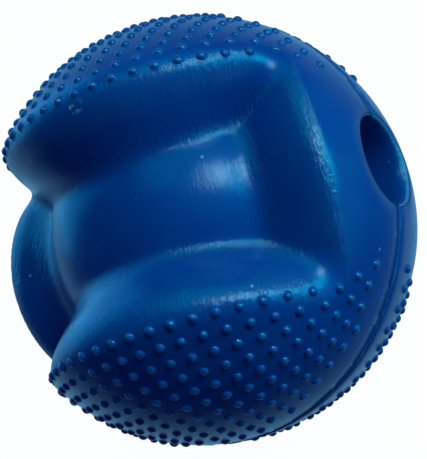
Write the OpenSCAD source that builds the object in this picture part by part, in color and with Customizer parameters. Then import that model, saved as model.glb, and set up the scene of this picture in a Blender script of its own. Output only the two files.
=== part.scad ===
// Moulded rubber squeeze ball: two hollow halves bonded on a parting plane, a smooth grip
// recess in each half, a round hole through the parting plane and two nubbed cheeks.
// Frame: origin at the centre of the ball, +X out of the hole, +Y to the left cheek,
// +Z square to the parting plane. Millimetres.

/* [Ball] */
// Diameter of the ball over its smooth skin
ball_d = 65; // [50:1:90]
// Diameter of the hole
bore_d = 13.4; // [9:0.2:15]
// Diameter of the hollow chamber, as a share of the ball
chamber_share = 0.5; // [0.4:0.01:0.54]

/* [Grip recess] */
// Radius of the barrel-shaped recess floor, as a share of the ball radius
floor_share = 0.705; // [0.66:0.005:0.75]
// Angle of the floor crease above the middle plane, at the waist of the recess
crease_angle = 20; // [16:0.5:21]
// How much further out the crease runs at the two ends
crease_flare = 8.5; // [5:0.5:9]
// Angle of the rim above the middle plane, at the waist of the recess
rim_angle = 27.8; // [26:0.2:29]
// How much further out the rim runs at the two ends
rim_flare = 5; // [3:0.5:6]
// Softness of the crease, as a share of the depth of the recess
crease_blend = 0.6; // [0.2:0.05:0.8]
// Softness of the rim, as a share of the depth of the recess
rim_blend = 0.8; // [0.4:0.05:0.9]

/* [Ends of the recess] */
// Half width, at the middle of the ball, of the bar that shapes the end with the hole
front_y_share = 0.54; // [0.5:0.01:0.58]
// Half height of that bar at the middle of the ball
front_z_share = 0.31; // [0.3:0.005:0.32]
// How much the bar grows towards the hole, as a share of its size per ball radius
front_taper = 0.7; // [0.6:0.05:0.8]
// Softness of the ramp's foot and of its top edge, as shares of the ball radius
front_blends = [0.09, 0.29]; // [0.08:0.01:0.29]
// Half width of the closed end, as a share of the ball radius
back_y_share = 0.5; // [0.44:0.01:0.56]
// Half height of the closed end, as a share of the ball radius
back_z_share = 0.29; // [0.26:0.01:0.34]
// Softness of the closed end's foot and of its edge, as shares of the ball radius
back_blends = [0.2, 0.155]; // [0.08:0.005:0.24]

/* [Nubs] */
// Diameter of one nub at its foot
nub_d = 1.5; // [1:0.1:1.8]
// Height of one nub above the skin
nub_h = 0.5; // [0.3:0.05:0.6]
// Distance between columns of nubs, counted from the closed end to the hole
column_pitch = 3.05; // [2.8:0.05:4]
// Distance between nubs along a column
row_pitch = 2.8; // [2.6:0.05:4]
// How far the middle column lies towards the hole
column_shift = 0.85; // [-1:0.05:1]
// Angle of the first row above the middle plane
first_row = 32.8; // [32:0.1:36]
// Smooth margin each side of the parting plane
seam_margin = 3.8; // [2.4:0.1:5]

/* [Seam] */
// Thickness of the bond between the halves
seam_t = 0.3; // [0.2:0.05:0.4]
// How far the bond's flash stands out of the skin
flash_h = 0.2; // [0.1:0.05:0.3]

/* [Hidden] */

blue = [0.0, 0.18, 0.52];
nub_blue = [0.08, 0.3, 0.62];
seam_blue = [0.25, 0.45, 0.72];

ball_r = ball_d / 2;
bore_r = bore_d / 2;
chamber_r = ball_r * chamber_share;
far = 2;

// smooth maximum and minimum of two numbers, blended over k
function smax(a, b, k) =
    let (h = max(k - abs(a - b), 0) / k)
    max(a, b) + h * h * k / 4;
function smin(a, b, k) = -smax(-a, -b, k);

// how far a ray from the centre runs inside an elliptical bar along X, y by z half across
// at the middle of the ball and growing by taper per ball radius
function bar_reach(d, y, z, taper) =
    let (q = norm([d[1] / y, d[2] / z]) - taper * d[0])
    q * far > 1 ? 1 / q : far;

// floor of the recess, rising at each end to the skin over the bar that closes that end
function floor_share_at(d) =
    let (front = d[0] > 0,
         bar = front
             ? bar_reach(d, front_y_share, front_z_share, front_taper)
             : bar_reach(d, back_y_share, back_z_share, 0),
         blends = front ? front_blends : back_blends)
    smin(1, smax(floor_share, bar, blends[0]), blends[1]);

// unit direction: turn is the angle from -X towards +Z, rise the angle above the XZ plane
function dir(turn, rise) = [-cos(rise) * cos(turn), sin(rise), cos(rise) * sin(turn)];

// height of the side wall: 0 on the floor, 1 on the skin
function wall_at(d) =
    let (crease = crease_angle + crease_flare * d[0] * d[0],
         rim = rim_angle + rim_flare * d[0] * d[0],
         up = (asin(min(1, abs(d[1]))) - crease) / (rim - crease))
    smin(1, smax(0, up, crease_blend), rim_blend);

// radius of the moulded skin along a unit direction
function skin_r(d) =
    let (low = floor_share_at(d))
    ball_r * (low + (1 - low) * wall_at(d));

// n equal steps from a up to, but not including, b
function steps(a, b, n) = [for (i = [0 : n - 1]) a + (b - a) * i / n];

// grid lines, closer together where the ends, the creases and the rims bend
turns = concat(steps(0, 11, 2), steps(11, 32, 14), steps(32, 138, 14), steps(138, 157, 16),
               steps(157, 180, 5), [180]);
half_rises = concat(steps(0, 13, 3), steps(13, 37, 14), steps(37, 90, 9));
rises = concat([for (i = [len(half_rises) - 1 : -1 : 1]) -half_rises[i]], half_rises);
columns = len(turns);
rows = len(rises);

function skin_point(d) = skin_r(d) * d;
function grid_index(i, j) = i * rows + j;

half_points = concat(
    [for (turn = turns) for (rise = rises) skin_point(dir(turn, rise))],
    [skin_point([0, -1, 0]), skin_point([0, 1, 0])]);
right_pole = columns * rows;
left_pole = right_pole + 1;

skin_faces = [
    for (i = [0 : columns - 2]) for (j = [0 : rows - 2]) for (k = [0, 1])
        k == 0
            ? [grid_index(i, j), grid_index(i, j + 1), grid_index(i + 1, j + 1)]
            : [grid_index(i, j), grid_index(i + 1, j + 1), grid_index(i + 1, j)]];
pole_faces = [
    for (i = [0 : columns - 2]) for (k = [0, 1])
        k == 0
            ? [right_pole, grid_index(i, 0), grid_index(i + 1, 0)]
            : [left_pole, grid_index(i + 1, rows - 1), grid_index(i, rows - 1)]];
parting_loop = concat(
    [right_pole],
    [for (j = [0 : rows - 1]) grid_index(columns - 1, j)],
    [left_pole],
    [for (j = [rows - 1 : -1 : 0]) grid_index(0, j)]);

// outline of the skin in the parting plane, grown by the flash
function outline_point(i) =
    let (p = half_points[parting_loop[i]])
    [p[0], p[1]] * (1 + flash_h / norm(p));

module half_solid() {
    translate([0, 0, seam_t / 2])
        polyhedron(points = half_points, faces = concat(skin_faces, pole_faces, [parting_loop]));
}

module hollow() {
    sphere(r = chamber_r, $fn = 96);
    rotate([0, 90, 0])
        cylinder(r = bore_r, h = ball_r + nub_h, $fn = 64);
}

module half_shell() {
    difference() {
        half_solid();
        hollow();
    }
}

module upper_half() {
    color(blue) half_shell();
}

module lower_half() {
    color(blue) mirror([0, 0, 1]) half_shell();
}

module bond_seam() {
    color(seam_blue)
        difference() {
            linear_extrude(height = seam_t, center = true)
                polygon([for (i = [0 : len(parting_loop) - 1]) outline_point(i)]);
            hollow();
        }
}

// one nub: a dome on the skin, its foot sunk so that it meets a sloping skin all round
nub_sink = 0.3;
module nub() {
    intersection() {
        translate([0, 0, nub_h - nub_d / 2]) sphere(d = nub_d, $fn = 24);
        translate([0, 0, -nub_sink]) cylinder(d = nub_d + 1, h = nub_h + 1, $fn = 24);
    }
}

// the nubs of one cheek of the upper half: columns across the X axis, evenly spaced round the
// ball, each starting at the first row; past drop_start degrees the first row drops towards
// the hole by drop_rate degrees for each degree
drop_start = 50;
drop_rate = 0.5;
column_angle = column_pitch / ball_r * 180 / PI;
shift_angle = column_shift / ball_r * 180 / PI;
row_angle = row_pitch / ball_r * 180 / PI;
last_column = floor(90 / column_angle);

module nub_column(lean) {
    reach = cos(lean);
    first = sin(first_row - drop_rate * max(0, lean - drop_start)) / reach;
    start = asin(min(1, first));
    step = row_angle / reach;
    stop = acos(min(1, seam_margin / (ball_r * reach)));
    if (first < 1 && stop >= start)
        for (i = [0 : floor((stop - start) / step)]) {
            turn = start + i * step;
            d = [sin(lean), reach * sin(turn), reach * cos(turn)];
            translate([0, 0, seam_t / 2])
                rotate([-turn, 0, 0])
                    rotate([0, lean, 0])
                        translate([0, 0, skin_r(d)])
                            nub();
        }
}

module nub_field() {
    for (column = [-last_column : last_column - 1])
        nub_column(shift_angle + column * column_angle);
}

module upper_left_nubs() {
    color(nub_blue) nub_field();
}

module upper_right_nubs() {
    color(nub_blue) mirror([0, 1, 0]) nub_field();
}

module lower_left_nubs() {
    color(nub_blue) mirror([0, 0, 1]) nub_field();
}

module lower_right_nubs() {
    color(nub_blue) mirror([0, 0, 1]) mirror([0, 1, 0]) nub_field();
}

upper_half();
lower_half();
bond_seam();
upper_left_nubs();
upper_right_nubs();
lower_left_nubs();
lower_right_nubs();
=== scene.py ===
"""Looks for the moulded rubber squeeze ball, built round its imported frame. Metres, row frame."""
import math
import random

import bpy
import numpy as np
from mathutils import Matrix, Vector, noise


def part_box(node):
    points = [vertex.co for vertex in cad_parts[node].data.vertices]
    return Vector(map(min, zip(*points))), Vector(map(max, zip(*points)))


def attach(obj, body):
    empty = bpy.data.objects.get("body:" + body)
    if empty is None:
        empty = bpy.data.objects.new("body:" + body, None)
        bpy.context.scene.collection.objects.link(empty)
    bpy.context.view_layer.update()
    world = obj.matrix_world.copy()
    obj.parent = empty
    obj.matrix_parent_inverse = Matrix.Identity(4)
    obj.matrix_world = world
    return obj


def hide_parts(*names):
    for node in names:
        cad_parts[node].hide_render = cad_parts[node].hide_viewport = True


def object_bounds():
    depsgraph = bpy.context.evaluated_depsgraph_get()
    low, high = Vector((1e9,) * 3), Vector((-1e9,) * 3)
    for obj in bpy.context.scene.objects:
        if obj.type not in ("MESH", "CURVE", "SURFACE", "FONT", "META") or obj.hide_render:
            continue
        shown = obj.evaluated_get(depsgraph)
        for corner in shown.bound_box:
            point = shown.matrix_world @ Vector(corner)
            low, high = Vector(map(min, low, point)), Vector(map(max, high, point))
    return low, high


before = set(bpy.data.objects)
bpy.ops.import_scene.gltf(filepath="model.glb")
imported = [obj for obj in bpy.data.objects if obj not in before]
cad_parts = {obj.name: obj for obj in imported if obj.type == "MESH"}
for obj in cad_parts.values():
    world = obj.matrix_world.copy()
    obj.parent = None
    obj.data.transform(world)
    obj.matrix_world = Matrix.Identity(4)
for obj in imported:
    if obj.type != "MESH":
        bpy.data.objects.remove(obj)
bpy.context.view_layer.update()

MM = 0.001
BODY = "root"

# ---- driving dimensions: the ball's own size comes from the frame, the rest are shares of it ----
BALL_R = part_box("upper_half")[1].y
SEAM_T = 2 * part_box("bond_seam")[1].z
BORE_R = 6.7 * MM
CHAMBER_R = 0.5 * BALL_R

FLOOR = 0.705
CREASE_ANGLE = 20.0
CREASE_FLARE = 8.5
RIM_ANGLE = 27.8
RIM_FLARE = 5.0
CREASE_BLEND = 0.6
RIM_BLEND = 0.8
FRONT_END = {"y": 0.54, "z": 0.31, "taper": 0.7, "foot": 0.09, "edge": 0.29}
BACK_END = {"y": 0.5, "z": 0.29, "taper": 0.0, "foot": 0.2, "edge": 0.155}
FAR = 2.0  # how far the bars reach, in ball radii

NUB_R = 0.75 * MM
NUB_H = 0.5 * MM
NUB_FILLET = 0.14 * MM
COLUMN_PITCH = 3.05 * MM
ROW_PITCH = 2.8 * MM
COLUMN_SHIFT = 0.85 * MM
FIRST_ROW = 32.8
DROP_START = 50.0
DROP_RATE = 0.5
SEAM_MARGIN = 3.8 * MM

# unevenness of the moulding, and how far an edge stands proud, as a share of the ball's radius
SLOW_WAVER = {"scale": 2.4, "depth": 0.10 * MM, "seed": 3.1}
FINE_WAVER = {"scale": 7.0, "depth": 0.03 * MM, "seed": 8.7}
PROUD_EDGE = 0.006


# ---- the moulded skin as a radius for each direction ----
def smax(a, b, k):
    h = np.maximum(k - np.abs(a - b), 0) / k
    return np.maximum(a, b) + h * h * k / 4


def smin(a, b, k):
    return -smax(-a, -b, k)


def end_share(d, end):
    """Floor of the recess, rising to the skin over the elliptical bar that closes one end."""
    q = np.hypot(d[..., 1] / end["y"], d[..., 2] / end["z"]) - end["taper"] * d[..., 0]
    bar = np.where(q * FAR > 1, 1 / np.maximum(q, 1e-6), FAR)
    return smin(1.0, smax(FLOOR, bar, end["foot"]), end["edge"])


def wall_height(d):
    """Height of the side wall along directions d: 0 on the floor, 1 on the skin."""
    out = d[..., 0] ** 2
    crease = CREASE_ANGLE + CREASE_FLARE * out
    rim = RIM_ANGLE + RIM_FLARE * out
    rise = np.degrees(np.arcsin(np.minimum(np.abs(d[..., 1]), 1)))
    return smin(1.0, smax(0.0, (rise - crease) / (rim - crease), CREASE_BLEND), RIM_BLEND)


def skin_share(d):
    """Radius of the skin along unit directions, as a share of the ball's radius."""
    low = np.where(d[..., 0] > 0, end_share(d, FRONT_END), end_share(d, BACK_END))
    return low + (1 - low) * wall_height(d)


def waver(d, scale, depth, seed):
    """Slow unevenness of the moulding along directions d, in metres."""
    flat = d.reshape(-1, 3)
    shift = Vector((seed, 2.3 * seed, -1.7 * seed))
    out = [noise.noise(Vector(p) * scale + shift) for p in flat]
    return depth * np.array(out).reshape(d.shape[:-1])


def skin_points(d):
    """Points of the skin along unit directions d, with the unevenness of real rubber."""
    r = BALL_R * skin_share(d) + waver(d, **SLOW_WAVER) + waver(d, **FINE_WAVER)
    return r[..., None] * d


def unit(v):
    return v / np.linalg.norm(v, axis=-1, keepdims=True)


def sideways(d):
    """Two directions square to d and to each other."""
    side = unit(np.cross(d, np.where(np.abs(d[..., :1]) < 0.9, [1.0, 0, 0], [0, 1.0, 0])))
    return side, np.cross(d, side)


def skin_normal(d, step=0.004):
    """Outward normals of the skin at directions d."""
    side, other = sideways(d)

    def point(e):
        e = unit(e)
        return skin_share(e)[..., None] * e

    n = np.cross(point(d + step * side) - point(d - step * side),
                 point(d + step * other) - point(d - step * other))
    n = unit(n)
    return n * np.sign((n * d).sum(-1, keepdims=True))


def edge_wear(d, reach=0.03):
    """How far the skin at directions d stands proud: 0 flat, 1 at an edge, -1 in a crease."""
    side, other = sideways(d)
    around = [skin_share(unit(d + reach * v)) for v in (side, -side, other, -other)]
    proud = skin_share(d) - sum(around) / 4
    return np.clip(proud / PROUD_EDGE, -1, 1)


# ---- mesh helpers ----
def make_object(name, points, faces, material, wear, smooth_angle=40):
    """A mesh object; wear holds one value for each point, read by the material: -1 in a crease, 0 flat, 1
    rubbed, and more on the lip of the hole, where it also paints a pale highlight; on the nubs its paling
    is partly a painted sheen."""
    mesh = bpy.data.meshes.new(name)
    mesh.from_pydata([tuple(p) for p in points], [], faces)
    worn = mesh.attributes.new("wear", "FLOAT", "POINT")
    worn.data.foreach_set("value", np.asarray(wear, dtype=np.float32))
    mesh.validate()
    mesh.update()
    mesh.materials.append(material)
    obj = bpy.data.objects.new(name, mesh)
    bpy.context.scene.collection.objects.link(obj)
    mesh.shade_smooth()
    bpy.context.view_layer.objects.active = obj
    obj.select_set(True)
    bpy.ops.object.shade_smooth_by_angle(angle=math.radians(smooth_angle))
    obj.select_set(False)
    return obj


# ---- half shells ----
def x_polar(polar, turn):
    """Directions with the hole's axis as pole: polar from +X, turn from +Y towards +Z, in radians."""
    p, t = np.meshgrid(polar, turn, indexing="ij")
    return np.stack([np.cos(p), np.sin(p) * np.cos(t), np.sin(p) * np.sin(t)], -1)


MOUTH = math.asin(BORE_R / BALL_R)
LIP = 0.45 * MM
LIP_TURNS = (22, 45, 68, 90)
BORE_ROWS = 25
CHAMBER_ROWS = 59
GROOVE = 0.16 * MM
GROOVE_HALF = 0.28 * MM

# wear on the lip of the hole, on the skin next to it and on the edge inside it; above 1 it also paints a
# pale highlight on the lip, and faintly on the skin next to it
LIP_WEAR_AND_SHEEN = 1.8
MOUTH_WEAR_AND_SHEEN = 1.2
BORE_EDGE_WEAR = 0.8

# columns beside the parting plane, and rings from the hole to the closed end, closest on the ramp
SEAM_COLUMNS = np.array([0, 0.12, 0.25, 0.4, 0.6, 0.85]) * MM / BALL_R
RING_ENDS = np.radians((22, 52, 180))
RING_COUNTS = (16, 84, 136)


def shell_turns(columns):
    """Angles round the hole's axis for one half, closer together beside the parting plane."""
    middle = np.linspace(0, math.pi, columns + 3 - 2 * len(SEAM_COLUMNS))[1:-1]
    return np.concatenate([SEAM_COLUMNS, middle, math.pi - SEAM_COLUMNS[::-1]])


def shell_rings():
    """Angles from the hole's axis, from the edge of the lip to just before the closed end."""
    starts = (MOUTH, *RING_ENDS[:-1])
    polar = np.concatenate([np.linspace(a, b, n, endpoint=False)
                            for a, b, n in zip(starts, RING_ENDS, RING_COUNTS)])
    polar[0] = MOUTH + LIP / BALL_R
    return polar


def shell_rows(turn, flip):
    """Rows of points from the closed end, over the skin, in through the lip and the hole, to the chamber;
    and the wear of every point, which on the lip also paints a pale highlight."""
    directions = x_polar(shell_rings(), turn) * flip
    outer = skin_points(directions)
    groove = GROOVE * np.exp(-(outer[..., 2] / GROOVE_HALF) ** 2)
    outer -= groove[..., None] * directions
    rows = list(outer[::-1])
    wear = list(edge_wear(directions)[::-1])
    wear[-1] = 0 * turn + MOUTH_WEAR_AND_SHEEN

    radial = np.stack([0 * turn, np.cos(turn), np.sin(turn)], -1) * flip
    mouth_x = outer[0][:, :1] * [1, 0, 0]
    for angle in LIP_TURNS:
        out = BORE_R + LIP * (1 - math.sin(math.radians(angle)))
        drop = LIP * (1 - math.cos(math.radians(angle)))
        rows.append(mouth_x - [drop, 0, 0] + radial * out)
        wear.append(0 * turn + (LIP_WEAR_AND_SHEEN if angle < 90 else BORE_EDGE_WEAR))

    chamber_polar = math.asin(BORE_R / CHAMBER_R)
    start_x = BALL_R * math.cos(MOUTH) - LIP
    for x in np.linspace(start_x, CHAMBER_R * math.cos(chamber_polar), BORE_ROWS + 1)[1:]:
        rows.append(radial * BORE_R + [x, 0, 0])
        wear.append(0 * turn)
    inner = np.linspace(chamber_polar, math.pi, CHAMBER_ROWS + 2)[1:-1]
    for d in x_polar(inner, turn) * flip:
        rows.append(CHAMBER_R * d)
        wear.append(0 * turn)
    return rows, wear


def shell_faces(count, columns):
    """Faces of a half shell with count rows; its outer and inner poles follow the rows' points."""
    width = columns + 1
    outer_pole = count * width
    inner_pole = outer_pole + 1
    faces = []
    for i in range(count - 1):
        for j in range(columns):
            a = i * width + j
            faces.append((a, a + 1, a + 1 + width, a + width))
    for j in range(columns):
        last = (count - 1) * width + j
        faces.append((outer_pole, j + 1, j))
        faces.append((inner_pole, last, last + 1))
    # bond face: two flat sides that meet in the pole points
    near = [i * width for i in range(count)]
    far = [i * width + columns for i in range(count)]
    faces.append(tuple([outer_pole] + near + [inner_pole]))
    faces.append(tuple([inner_pole] + far[::-1] + [outer_pole]))
    return faces


def half_shell(name, sign, material, columns=256):
    """A closed half: skin, rounded lip, half of the hole, half of the chamber and the bond face."""
    flip = np.array([1, 1, sign])
    lift = np.array([0, 0, sign * SEAM_T / 2])
    rows, wear = shell_rows(shell_turns(columns), flip)
    outer_pole = skin_points(np.array([[-1.0, 0, 0]]))[0]
    inner_pole = np.array([-CHAMBER_R, 0, 0])
    points = list((np.array(rows) + lift).reshape(-1, 3)) + [outer_pole + lift, inner_pole + lift]
    faces = shell_faces(len(rows), columns)
    if sign < 0:
        faces = [f[::-1] for f in faces]
    return make_object(name, points, faces, material, list(np.array(wear).reshape(-1)) + [0, 0])


# ---- nubs ----
DOME_STEPS = 7
FILLET_STEPS = 5
NUB_SKIRT = 0.10 * MM
NUB_SINK = 0.012 * MM
NUB_ROOT = 0.2 * MM

# how much single nubs differ: in width, height, tilt, and in wear and painted sheen
NUB_WIDE = (0.94, 1.06)
NUB_TALL = (0.84, 1.04)
NUB_TILT = (-0.06, 0.06)
NUB_RUB_AND_SHEEN = (0.7, 1.0)


def nub_profile():
    """Radius and height of one nub from its tip out to its foot: a dome with a filleted foot."""
    centre = NUB_H - NUB_R
    foot = math.sqrt((NUB_R + NUB_FILLET) ** 2 - (NUB_FILLET - centre) ** 2)
    low = math.asin((NUB_FILLET - centre) / (NUB_R + NUB_FILLET))
    dome = [(NUB_R * math.cos(a), centre + NUB_R * math.sin(a))
            for a in np.linspace(math.pi / 2, low, DOME_STEPS + 1)[1:]]
    root = [(foot - NUB_FILLET * math.cos(a), NUB_FILLET - NUB_FILLET * math.sin(a))
            for a in np.linspace(low, math.pi / 2, FILLET_STEPS + 1)[1:]]
    return dome + root + [(foot + NUB_SKIRT, -NUB_SINK), (foot + NUB_SKIRT, -NUB_ROOT)]


def nub_directions():
    """Unit directions of the nubs on the left cheek of the upper half, column by column."""
    out = []
    last = int(90 / math.degrees(COLUMN_PITCH / BALL_R))
    for column in range(-last, last):
        lean = (COLUMN_SHIFT + column * COLUMN_PITCH) / BALL_R
        reach = math.cos(lean)
        dropped = DROP_RATE * max(0, math.degrees(lean) - DROP_START)
        first = math.sin(math.radians(FIRST_ROW - dropped)) / reach
        if first >= 1 or SEAM_MARGIN >= BALL_R * reach:
            continue
        turn = math.asin(first)
        while BALL_R * reach * math.cos(turn) >= SEAM_MARGIN:
            out.append((math.sin(lean), reach * math.sin(turn), reach * math.cos(turn)))
            turn += ROW_PITCH / BALL_R / reach
    return out


def nub_field(name, side, sign, material, seed, around=20):
    """Every nub of one cheek of one half, as separate closed domes on the skin."""
    rng = random.Random(seed)
    flip = np.array([1, side, sign])
    lift = np.array([0, 0, sign * SEAM_T / 2])
    directions = np.array(nub_directions()) * flip
    bases = skin_points(directions)
    normals = skin_normal(directions)
    profile = nub_profile()
    points, faces, wear = [], [], []
    for base, normal in zip(bases, normals):
        across = unit(np.cross(normal, [0, 0, 1.0] if abs(normal[2]) < 0.9 else [1.0, 0, 0]))
        along = np.cross(normal, across)
        wide = rng.uniform(*NUB_WIDE)
        tall = rng.uniform(*NUB_TALL)
        tilt = rng.uniform(*NUB_TILT), rng.uniform(*NUB_TILT)
        rub_and_sheen = rng.uniform(*NUB_RUB_AND_SHEEN)
        first = len(points)
        points.append(base + lift + normal * NUB_H * tall)
        wear.append(rub_and_sheen)
        for radius, height in profile:
            drop = radius * radius / (2 * BALL_R)
            for k in range(around):
                t = 2 * math.pi * k / around
                u, v = radius * wide * math.cos(t), radius * wide * math.sin(t)
                lean = max(height, 0) * np.array(tilt)
                points.append(base + lift + across * (u + lean[0]) + along * (v + lean[1])
                              + normal * ((height * tall if height > 0 else height) - drop))
                # paler towards the tip: wear, and a painted sheen on the dome
                wear.append(rub_and_sheen * max(height, 0) / NUB_H)
        for k in range(around):
            faces.append((first, first + 1 + k, first + 1 + (k + 1) % around))
        for ring in range(len(profile) - 1):
            for k in range(around):
                a = first + 1 + ring * around + k
                b = first + 1 + ring * around + (k + 1) % around
                faces.append((a, a + around, b + around, b))
        end = first + 1 + (len(profile) - 1) * around
        faces.append(tuple(end + (around - 1 - k) for k in range(around)))
    return make_object(name, points, faces, material, wear)


# ---- bond seam ----
FLASH = 0.13 * MM
FLASH_SPREAD = 0.08 * MM
FLASH_RANGE = (0.02 * MM, 0.19 * MM)
FLASH_FULL = 0.17 * MM
FLASH_PALE = 4  # the higher, the fewer bits of the flash are pale
RAGGED_SCALES = (9, 40)
NICK_SCALE = 25
NICK_ABOVE = 0.3
FLASH_FOOT = (0.5 * MM, 0.05 * MM)
FLASH_TIP = ((0.35, 0.7), (0.8, 0.42), (1.0, 0.12))


def seam_ring(name, material, columns=900):
    """The bond between the halves: a flat ring open at the hole, with an uneven trimmed flash."""
    start = MOUTH + 0.2 * LIP / BALL_R
    turn = np.linspace(start, 2 * math.pi - start, columns + 1)
    d = np.stack([np.cos(turn), np.sin(turn), 0 * turn], -1)
    skin = np.linalg.norm(skin_points(d), axis=-1)
    broad, fine = (np.array([noise.noise(Vector((x, y, level)) * scale) for x, y, _ in d])
                   for level, scale in enumerate(RAGGED_SCALES))
    flash = FLASH + FLASH_SPREAD * (broad + 0.6 * fine)
    nick = np.array([noise.noise(Vector((x, y, 2)) * NICK_SCALE) for x, y, _ in d])
    flash = np.where(nick > NICK_ABOVE, FLASH_RANGE[0], np.clip(flash, *FLASH_RANGE))
    half = SEAM_T / 2
    profile = [(-depth, half) for depth in FLASH_FOOT] + [(out, z * half) for out, z in FLASH_TIP]
    profile = profile + [(a, -b) for a, b in profile[::-1]]
    rows, wear = [], []
    for out, z in profile:
        depth = flash * out if out > 0 else out
        rows.append(d * (skin + depth)[:, None] + [0, 0, z])
        wear.append(np.clip(flash / FLASH_FULL, 0, 1) ** FLASH_PALE * max(out, 0))
    inner = np.minimum(CHAMBER_R, skin)[:, None] * d
    bore_x = math.sqrt(CHAMBER_R ** 2 - BORE_R ** 2)
    for k in range(columns + 1):
        if inner[k][0] > 0 and abs(inner[k][1]) < BORE_R:
            inner[k] = (bore_x, math.copysign(BORE_R, inner[k][1]), 0)
    rows.insert(0, inner + [0, 0, half])
    rows.append(inner + [0, 0, -half])
    wear = [0 * turn] + wear + [0 * turn]
    grid = np.array(rows)
    count, width = len(rows), columns + 1
    faces = []
    for i in range(count):
        n = (i + 1) % count
        for j in range(columns):
            faces.append((i * width + j, i * width + j + 1, n * width + j + 1, n * width + j))
    faces.append(tuple(i * width for i in range(count)))
    faces.append(tuple(i * width + columns for i in range(count - 1, -1, -1)))
    return make_object(name, list(grid.reshape(-1, 3)), faces, material, np.array(wear).reshape(-1))


# ---- materials ----
class Nodes:
    """Short calls for building a shader tree."""

    def __init__(self, name):
        self.material = bpy.data.materials.new(name)
        self.material.use_nodes = True
        self.tree = self.material.node_tree
        self.shader = self.tree.nodes["Principled BSDF"]

    def add(self, kind, inputs=None, **settings):
        node = self.tree.nodes.new(kind)
        for key, value in settings.items():
            setattr(node, key, value)
        for key, value in (inputs or {}).items():
            if isinstance(value, bpy.types.NodeSocket):
                self.tree.links.new(value, node.inputs[key])
            else:
                node.inputs[key].default_value = value
        return node

    def noise(self, vector, scale, detail=3.0, rough=0.5):
        return self.add("ShaderNodeTexNoise", {"Vector": vector, "Scale": scale, "Detail": detail,
                                               "Roughness": rough}).outputs["Fac"]

    def ramp(self, value, low, high, to_low=0.0, to_high=1.0):
        return self.add("ShaderNodeMapRange", {"Value": value, "From Min": low, "From Max": high,
                                               "To Min": to_low, "To Max": to_high}).outputs["Result"]

    def math(self, kind, a, b):
        return self.add("ShaderNodeMath", {0: a, 1: b}, operation=kind).outputs[0]

    def mix(self, fac, a, b):
        node = self.add("ShaderNodeMix", data_type="RGBA")
        for key, value in ((0, fac), (6, a), (7, b)):
            if isinstance(value, bpy.types.NodeSocket):
                self.tree.links.new(value, node.inputs[key])
            else:
                node.inputs[key].default_value = value
        return node.outputs[2]

    def stretch(self, vector, scale):
        return self.add("ShaderNodeMapping", {"Vector": vector, "Scale": scale}).outputs["Vector"]

    def bump(self, height, strength, distance, normal=None):
        inputs = {"Height": height, "Strength": strength, "Distance": distance}
        if normal is not None:
            inputs["Normal"] = normal
        return self.add("ShaderNodeBump", inputs).outputs["Normal"]

    def round_y(self, vector):
        """Coordinates that run round the Y axis: angle, height along Y and distance from it."""
        part = self.add("ShaderNodeSeparateXYZ", {"Vector": vector}).outputs
        angle = self.math("MULTIPLY", self.math("ARCTAN2", part["Z"], part["X"]), BALL_R)
        away = self.math("SQRT", self.math("ADD", self.math("MULTIPLY", part["X"], part["X"]),
                                           self.math("MULTIPLY", part["Z"], part["Z"])), 0)
        return self.add("ShaderNodeCombineXYZ", {"X": angle, "Y": part["Y"], "Z": away}).outputs["Vector"]


# noise and cell scales are per metre, bump heights and radii in metres
MOTTLE_SCALE = 70
PATCH_SCALE = 300
LINT_SCALE = 230
LINT_ABOVE = 0.72
LINT_COLOR = (0.62, 0.74, 0.86, 1)
CRUMB_SCALE = 1100
SCUFF_AT = tuple(skin_points(unit(np.array([(0.012, 0.50, 0.863)])))[0])
SCUFF_RADII = (0.5 * MM, 1.8 * MM)
# pale lip of the hole: a painted highlight, partly wear
LIP_WEAR_AND_SHEEN_COLOR = (0.30, 0.50, 0.72, 1)
STREAK_SCALES = (2600, 420, 420)
STREAK_HEIGHT = 0.3 * MM
SMEAR_SCALE = 130
PEEL_SCALE = 1400
PEEL_HEIGHT = 0.2 * MM
BASE_ROUGHER = 0.24
LINT_ROUGHER = 0.4
SHEEN_TINT = (0.1, 0.75, 1.0, 1)
COAT_WEIGHT = 0.9
FLAT_IOR = 1.5
BENT_IOR = 2.1


def rubber_color(n, at, wear, lint, look):
    """Mottled blue with rubbed edges, a painted highlight on the lip that is partly wear, and lint; on
    the nubs the rubbed paling is partly a painted sheen.
    """
    mottle = n.ramp(n.noise(at, MOTTLE_SCALE, 4), 0.35, 0.68)
    base = n.mix(mottle, look["deep"], look["lit"])
    patchy = n.ramp(n.noise(at, PATCH_SCALE, 4, 0.65), 0.35, 0.7, 0.35, 1.0)
    # rubbed paling: wear on skin edges and flash, and on the nubs partly a painted sheen
    rubbed = n.math("MULTIPLY", n.math("MAXIMUM", wear, 0.0), patchy)
    base = n.mix(n.math("MULTIPLY", rubbed, look["wear_mix"]), base, look["worn"])
    # painted highlight on the lip of the hole, partly wear
    lip = n.math("MULTIPLY", n.ramp(wear, 1.0, LIP_WEAR_AND_SHEEN), patchy)
    base = n.mix(lip, base, LIP_WEAR_AND_SHEEN_COLOR)
    return n.mix(lint, base, LINT_COLOR)


def rubber_lint(n, at):
    """Pale specks here and there, and a scuff on one rim."""
    cells = n.add("ShaderNodeTexVoronoi", {"Vector": at, "Scale": LINT_SCALE}, feature="F1")
    near = n.ramp(cells.outputs["Distance"], 0.035, 0.07, 1, 0)
    pick = n.add("ShaderNodeSeparateColor", {"Color": cells.outputs["Color"]}).outputs["Red"]
    specks = n.math("MULTIPLY", near, n.math("GREATER_THAN", pick, LINT_ABOVE))
    away = n.add("ShaderNodeVectorMath", {0: at, 1: SCUFF_AT}, operation="DISTANCE").outputs["Value"]
    crumbs = n.ramp(n.noise(at, CRUMB_SCALE, 3), 0.56, 0.62)
    scuff = n.math("MULTIPLY", n.ramp(away, *SCUFF_RADII, 1, 0), crumbs)
    return n.math("MAXIMUM", specks, scuff)


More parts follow.
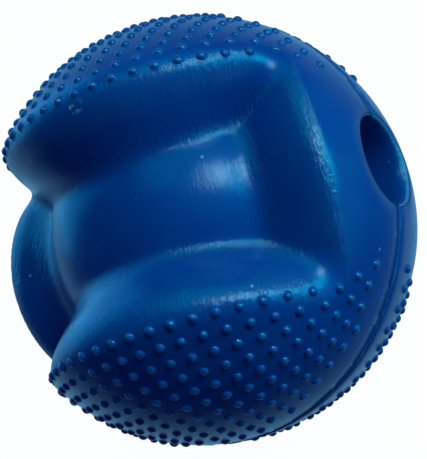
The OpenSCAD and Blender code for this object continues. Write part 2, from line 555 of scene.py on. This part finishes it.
def rubber(name, look):
    """Moulded satin rubber under a thin gloss: orange peel, and mould streaks that show most
    where the skin bends. Bends are softened over soft_radius, if there is one."""
    n = Nodes(name)
    at = n.add("ShaderNodeTexCoord").outputs["Object"]
    wear = n.add("ShaderNodeAttribute", attribute_name="wear").outputs["Fac"]
    bent = n.math("MINIMUM", n.math("ABSOLUTE", wear, 0.0), 1.0)
    lint = rubber_lint(n, at)

    streak = n.noise(n.stretch(n.round_y(at), STREAK_SCALES), 1, 4, 0.6)
    smear = n.ramp(n.noise(at, SMEAR_SCALE, 3), 0.3, 0.7, -0.03, 0.06)
    uneven = n.math("ADD", smear, n.ramp(streak, 0.35, 0.75, -0.03, 0.06))
    uneven = n.math("ADD", uneven, n.math("MULTIPLY", bent, look["bent_rough"]))
    gloss = n.math("ADD", n.math("ADD", uneven, look["rough"]), n.math("MULTIPLY", lint, LINT_ROUGHER))

    normal = None
    if look["soft_radius"]:
        normal = n.add("ShaderNodeBevel", {"Radius": look["soft_radius"]}, samples=8).outputs["Normal"]
    normal = n.bump(n.noise(at, PEEL_SCALE, 3), n.ramp(bent, 0.1, 0.8, 0.06, 0.6), PEEL_HEIGHT, normal)
    normal = n.bump(streak, n.ramp(bent, 0.3, 0.9, 0.12, 0.8), STREAK_HEIGHT, normal)

    links = {"Base Color": rubber_color(n, at, wear, lint, look),
             "Roughness": n.math("ADD", gloss, BASE_ROUGHER),
             "Normal": normal,
             "Coat IOR": n.ramp(bent, 0.1, 0.8, FLAT_IOR, BENT_IOR),
             "Coat Roughness": gloss,
             "Coat Normal": normal}
    for socket, output in links.items():
        n.tree.links.new(output, n.shader.inputs[socket])
    n.shader.inputs["IOR"].default_value = 1.5
    n.shader.inputs["Specular IOR Level"].default_value = 0.5
    n.shader.inputs["Specular Tint"].default_value = SHEEN_TINT
    n.shader.inputs["Coat Weight"].default_value = COAT_WEIGHT
    return n.material


SKIN_LOOK = {"deep": (0.0, 0.095, 0.42, 1), "lit": (0.0, 0.140, 0.50, 1), "worn": (0.03, 0.24, 0.56, 1),
             "rough": 0.13, "wear_mix": 0.55, "bent_rough": 0.04, "soft_radius": 3.1 * MM}
# nubs: the worn colour paints paler tips and sides, partly wear and dust, partly a painted sheen
NUB_LOOK = {"deep": (0.0, 0.100, 0.43, 1), "lit": (0.002, 0.145, 0.50, 1), "worn": (0.08, 0.30, 0.60, 1),
            "rough": 0.10, "wear_mix": 0.5, "bent_rough": 0.0, "soft_radius": 0.0}
SEAM_LOOK = {"deep": (0.0, 0.09, 0.40, 1), "lit": (0.0, 0.13, 0.46, 1), "worn": (0.42, 0.68, 0.88, 1),
             "rough": 0.35, "wear_mix": 0.9, "bent_rough": 0.10, "soft_radius": 0.0}
skin_mat = rubber("skin_rubber", SKIN_LOOK)
nub_mat = rubber("nub_rubber", NUB_LOOK)
seam_mat = rubber("seam_rubber", SEAM_LOOK)

# ---- pieces ----
halves = {"upper": 1, "lower": -1}
for half, sign in halves.items():
    shell = half_shell(f"{half}_half_skin", sign, skin_mat)
    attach(shell, BODY)
    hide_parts(f"{half}_half")
    for side_name, side in (("left", 1), ("right", -1)):
        seed = 11 + 2 * side + 5 * sign
        nubs = nub_field(f"{half}_{side_name}_nub_domes", side, sign, nub_mat, seed)
        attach(nubs, BODY)
        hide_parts(f"{half}_{side_name}_nubs")
seam = seam_ring("seam_flash", seam_mat)
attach(seam, BODY)
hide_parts("bond_seam")

# ---- camera: six ball radii away, looking down on the upper recess from beside the hole ----
CAMERA_RADII = 6.0
RIGHT = Vector((0.8185, -0.2331, -0.5250)).normalized()
UP = Vector((0.3189, 0.9444, 0.0796))
BACK = RIGHT.cross(UP).normalized()
UP = BACK.cross(RIGHT)
camera_data = bpy.data.cameras.new("camera")
camera = bpy.data.objects.new("camera", camera_data)
bpy.context.scene.collection.objects.link(camera)
turn = Matrix((RIGHT, UP, BACK)).transposed().to_4x4()
camera.matrix_world = Matrix.Translation(BACK * CAMERA_RADII * BALL_R) @ turn
camera_data.sensor_fit = "HORIZONTAL"
camera_data.sensor_width = 36
camera_data.lens = 107.0
camera_data.shift_x = 0.0262
camera_data.shift_y = 0.0026
camera_data.clip_start = 0.01
bpy.context.scene.camera = camera


def in_view(right, up, back):
    """A direction given across, up and towards the camera, in the row frame."""
    return (RIGHT * right + UP * up + BACK * back).normalized()


# ---- floor and light ----
FLOOR_SIZE = 6
FLOOR_GREY = 0.25
FLOOR_GLOW = 0.97
floor_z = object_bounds()[0][2]
bpy.ops.mesh.primitive_plane_add(size=FLOOR_SIZE, location=(0, 0, floor_z))
floor = bpy.context.object
floor.name = "floor"
floor.visible_diffuse = False
floor.visible_glossy = False
floor_mat = bpy.data.materials.new("floor_paper")
floor_mat.use_nodes = True
floor_shader = floor_mat.node_tree.nodes["Principled BSDF"]
floor_shader.inputs["Base Color"].default_value = (FLOOR_GREY, FLOOR_GREY, FLOOR_GREY, 1)
floor_shader.inputs["Roughness"].default_value = 0.9
floor_shader.inputs["Emission Color"].default_value = (1, 1, 1, 1)
floor_shader.inputs["Emission Strength"].default_value = FLOOR_GLOW
floor.data.materials.append(floor_mat)


def softbox(name, direction, distance, width, height, offset, radiance):
    """A rectangular light that faces the ball; offset moves it sideways along the view's right."""
    peak = max(radiance)
    data = bpy.data.lights.new(name, "AREA")
    data.shape = "RECTANGLE"
    data.size = width
    data.size_y = height
    data.energy = peak * math.pi * width * height
    data.color = [v / peak for v in radiance]
    light = bpy.data.objects.new(name, data)
    bpy.context.scene.collection.objects.link(light)
    across = (RIGHT - direction * RIGHT.dot(direction)).normalized()
    above = direction.cross(across)
    facing = Matrix((across, above, direction)).transposed().to_4x4()
    light.matrix_world = Matrix.Translation(direction * distance + across * offset) @ facing


# name, direction in the view, distance, width, height, sideways offset, radiance
LIGHTS = [
    ("window_left", (0.24, 0.63, 0.735), 0.6, 0.13, 0.15, -0.04, (3.9, 7.6, 10.8)),
    ("window_right", (0.57, 0.54, 0.62), 0.6, 0.45, 0.20, 0.04, (0.0, 2.9, 4.1)),
    ("glow", (-0.20, 0.80, 0.56), 0.9, 1.0, 0.7, 0.0, (0.0, 0.46, 0.50)),
    ("fill_left", (-0.80, 0.35, -0.45), 0.9, 0.7, 0.9, 0.0, (0.005, 0.42, 0.92)),
    ("fill_right", (0.9, 0.2, 0.35), 0.9, 0.7, 0.9, 0.0, (0.02, 0.27, 0.40)),
]
for name, direction, distance, width, height, offset, radiance in LIGHTS:
    softbox(name, in_view(*direction), distance, width, height, offset, radiance)

# surroundings: dim in front of the ball, pale behind it
FRONT_GLOW = (0.005, 0.012, 0.070)
BACK_GLOW = (0.13, 0.37, 0.61)
GLOW_FROM = -0.3
GLOW_TO = -0.9
world = bpy.data.worlds.new("studio")
world.use_nodes = True
tree = world.node_tree
coord = tree.nodes.new("ShaderNodeTexCoord")
toward = tree.nodes.new("ShaderNodeVectorMath")
toward.operation = "DOT_PRODUCT"
toward.inputs[1].default_value = BACK
spread = tree.nodes.new("ShaderNodeMapRange")
spread.inputs["From Min"].default_value = GLOW_FROM
spread.inputs["From Max"].default_value = GLOW_TO
blend = tree.nodes.new("ShaderNodeMix")
blend.data_type = "RGBA"
blend.inputs[6].default_value = (*FRONT_GLOW, 1)
blend.inputs[7].default_value = (*BACK_GLOW, 1)
tree.links.new(coord.outputs["Generated"], toward.inputs[0])
tree.links.new(toward.outputs["Value"], spread.inputs["Value"])
tree.links.new(spread.outputs["Result"], blend.inputs[0])
tree.links.new(blend.outputs[2], tree.nodes["Background"].inputs["Color"])
bpy.context.scene.world = world
bpy.context.scene.view_settings.view_transform = "Standard"
